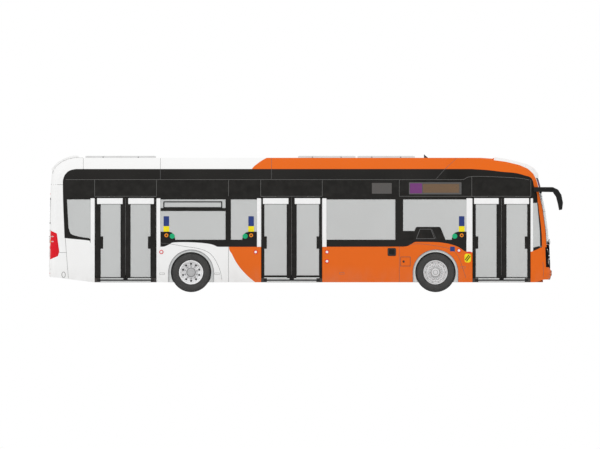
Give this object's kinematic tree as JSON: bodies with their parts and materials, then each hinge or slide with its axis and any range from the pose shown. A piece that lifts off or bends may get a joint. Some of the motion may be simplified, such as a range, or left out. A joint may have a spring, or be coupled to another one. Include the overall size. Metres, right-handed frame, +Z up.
{
  "type": "city bus",
  "caption": "Low-floor two-axle city bus with a battery roof, double kerbside doors that glide inwards, steered front wheels, mirrors, seats and a lifting rear flap.",
  "frame": {"origin": "on the ground, below the middle of the whole vehicle, mirrors included", "axes": "+X forward, +Y to the driver's left, +Z up"},
  "size_m": [12.408, 2.98, 3.3299],
  "materials": {
    "paint_body": "gloss white, with orange towards the front",
    "paint_roof": "satin white",
    "paint_black": "gloss black",
    "glass_clear": "clear laminated",
    "glass_tinted": "light grey tint",
    "glass_door": "light grey tint",
    "lamp_clear": "smoked lens over lamps",
    "lamp_red": "red lens",
    "plastic_black": "grained black",
    "plastic_grey": "grained dark grey",
    "lining": "light grey panel",
    "floor_cover": "speckled sheet flooring",
    "chassis_paint": "satin chassis paint",
    "housing_plastic": "light grey liner",
    "battery_case": "satin grey",
    "seat_fabric": "dark blue woven cover",
    "seat_shell": "grey shell",
    "pole_steel": "brushed stainless tube",
    "door_frame": "black powder coat",
    "door_gear": "plated steel",
    "cast_iron": "painted casting",
    "tyre": "matt rubber",
    "wheel_paint": "silver"
  },
  "bodies": {
    "body": {"cab_screen": "lining", "cantrails": "paint_black", "charge_socket": "plastic_black", "dashboard": "plastic_grey", "driver_side_wall": "paint_body", "floor": "floor_cover", "front_axle": "cast_iron", "front_moulding": "paint_body", "grab_poles": "pole_steel", "headlamps": "lamp_clear", "kerb_wall": "paint_body", "mirrors": "plastic_black", "rear_axle": "cast_iron", "rear_battery": "battery_case", "rear_moulding": "paint_body", "rear_platform": "lining", "roof_deck": "lining", "roof_fairings": "paint_body", "roof_units": "paint_roof", "seat_cushions": "seat_fabric", "seat_frames": "seat_shell", "side_glass": "glass_tinted", "steering_wheel": "plastic_black", "tail_lamps": "lamp_red", "underframe": "chassis_paint", "wheel_housings": "housing_plastic", "windscreen": "glass_clear"},
    "front_left_wheel": {"front_left_rim": "wheel_paint", "front_left_tyre": "tyre"},
    "front_right_wheel": {"front_right_rim": "wheel_paint", "front_right_tyre": "tyre"},
    "rear_left_wheel": {"rear_left_rim": "wheel_paint", "rear_left_tyre": "tyre"},
    "rear_right_wheel": {"rear_right_rim": "wheel_paint", "rear_right_tyre": "tyre"},
    "left_knuckle": {"left_knuckle": "cast_iron"},
    "right_knuckle": {"right_knuckle": "cast_iron"},
    "rear_door_aft_arm": {"rear_door_aft_post": "door_gear"},
    "rear_door_aft_leaf": {"rear_door_aft_leaf": "door_frame", "rear_door_aft_glass": "glass_door"},
    "rear_door_fore_arm": {"rear_door_fore_post": "door_gear"},
    "rear_door_fore_leaf": {"rear_door_fore_leaf": "door_frame", "rear_door_fore_glass": "glass_door"},
    "mid_door_aft_arm": {"mid_door_aft_post": "door_gear"},
    "mid_door_aft_leaf": {"mid_door_aft_leaf": "door_frame", "mid_door_aft_glass": "glass_door"},
    "mid_door_fore_arm": {"mid_door_fore_post": "door_gear"},
    "mid_door_fore_leaf": {"mid_door_fore_leaf": "door_frame", "mid_door_fore_glass": "glass_door"},
    "front_door_aft_arm": {"front_door_aft_post": "door_gear"},
    "front_door_aft_leaf": {"front_door_aft_leaf": "door_frame", "front_door_aft_glass": "glass_door"},
    "front_door_fore_arm": {"front_door_fore_post": "door_gear"},
    "front_door_fore_leaf": {"front_door_fore_leaf": "door_frame", "front_door_fore_glass": "glass_door"},
    "rear_lid": {"rear_lid": "paint_body"},
    "charge_lid": {"charge_lid": "paint_body"}
  },
  "joints": [
    {"name": "front_left_roll", "type": "hinge", "parent": "left_knuckle", "child": "front_left_wheel", "pos_m": [3.126, 1.09, 0.478], "axis": [0, 1, 0], "continuous": true},
    {"name": "front_right_roll", "type": "hinge", "parent": "right_knuckle", "child": "front_right_wheel", "pos_m": [3.126, -1.09, 0.478], "axis": [0, 1, 0], "continuous": true},
    {"name": "rear_left_roll", "type": "hinge", "parent": "body", "child": "rear_left_wheel", "pos_m": [-2.774, 1.09, 0.478], "axis": [0, 1, 0], "continuous": true},
    {"name": "rear_right_roll", "type": "hinge", "parent": "body", "child": "rear_right_wheel", "pos_m": [-2.774, -1.09, 0.478], "axis": [0, 1, 0], "continuous": true},
    {"name": "left_steer", "type": "hinge", "parent": "body", "child": "left_knuckle", "pos_m": [3.126, 0.96, 0.478], "axis": [0, 0, 1], "range_deg": [-40, 40]},
    {"name": "right_steer", "type": "hinge", "parent": "body", "child": "right_knuckle", "pos_m": [3.126, -0.96, 0.478], "axis": [0, 0, 1], "range_deg": [-40, 40]},
    {"name": "rear_door_aft_turn", "type": "hinge", "parent": "body", "child": "rear_door_aft_arm", "pos_m": [-5.133, -1.192, 1.3], "axis": [0, 0, 1], "range_deg": [0, 72]},
    {"name": "rear_door_aft_fold", "type": "hinge", "parent": "rear_door_aft_arm", "child": "rear_door_aft_leaf", "pos_m": [-4.75, -1.192, 1.3], "axis": [0, 0, 1], "range_deg": [-162, 0]},
    {"name": "rear_door_fore_turn", "type": "hinge", "parent": "body", "child": "rear_door_fore_arm", "pos_m": [-3.579, -1.192, 1.3], "axis": [0, 0, -1], "range_deg": [0, 72]},
    {"name": "rear_door_fore_fold", "type": "hinge", "parent": "rear_door_fore_arm", "child": "rear_door_fore_leaf", "pos_m": [-3.962, -1.192, 1.3], "axis": [0, 0, -1], "range_deg": [-162, 0]},
    {"name": "mid_door_aft_turn", "type": "hinge", "parent": "body", "child": "mid_door_aft_arm", "pos_m": [-1.114, -1.192, 1.3], "axis": [0, 0, 1], "range_deg": [0, 72]},
    {"name": "mid_door_aft_fold", "type": "hinge", "parent": "mid_door_aft_arm", "child": "mid_door_aft_leaf", "pos_m": [-0.731, -1.192, 1.3], "axis": [0, 0, 1], "range_deg": [-162, 0]},
    {"name": "mid_door_fore_turn", "type": "hinge", "parent": "body", "child": "mid_door_fore_arm", "pos_m": [0.423, -1.192, 1.3], "axis": [0, 0, -1], "range_deg": [0, 72]},
    {"name": "mid_door_fore_fold", "type": "hinge", "parent": "mid_door_fore_arm", "child": "mid_door_fore_leaf", "pos_m": [0.04, -1.192, 1.3], "axis": [0, 0, -1], "range_deg": [-162, 0]},
    {"name": "front_door_aft_turn", "type": "hinge", "parent": "body", "child": "front_door_aft_arm", "pos_m": [3.987, -1.192, 1.3], "axis": [0, 0, 1], "range_deg": [0, 72]},
    {"name": "front_door_aft_fold", "type": "hinge", "parent": "front_door_aft_arm", "child": "front_door_aft_leaf", "pos_m": [4.37, -1.192, 1.3], "axis": [0, 0, 1], "range_deg": [-162, 0]},
    {"name": "front_door_fore_turn", "type": "hinge", "parent": "body", "child": "front_door_fore_arm", "pos_m": [5.452, -1.192, 1.3], "axis": [0, 0, -1], "range_deg": [0, 72]},
    {"name": "front_door_fore_fold", "type": "hinge", "parent": "front_door_fore_arm", "child": "front_door_fore_leaf", "pos_m": [5.069, -1.192, 1.3], "axis": [0, 0, -1], "range_deg": [-162, 0]},
    {"name": "rear_lid_lift", "type": "hinge", "parent": "body", "child": "rear_lid", "pos_m": [-6.195, 0, 1.48], "axis": [0, 1, 0], "range_deg": [0, 80]},
    {"name": "charge_lid_swing", "type": "hinge", "parent": "body", "child": "charge_lid", "pos_m": [2.294, -1.271, 0.74], "axis": [0, 0, -1], "range_deg": [0, 105]}
  ],
  "couplings": [
    {"joint": "right_steer", "follows": "left_steer", "ratio": 1},
    {"joint": "rear_door_aft_fold", "follows": "rear_door_aft_turn", "ratio": -2.25},
    {"joint": "rear_door_fore_fold", "follows": "rear_door_fore_turn", "ratio": -2.25},
    {"joint": "mid_door_aft_fold", "follows": "mid_door_aft_turn", "ratio": -2.25},
    {"joint": "mid_door_fore_fold", "follows": "mid_door_fore_turn", "ratio": -2.25},
    {"joint": "front_door_aft_fold", "follows": "front_door_aft_turn", "ratio": -2.25},
    {"joint": "front_door_fore_fold", "follows": "front_door_fore_turn", "ratio": -2.25}
  ]
}
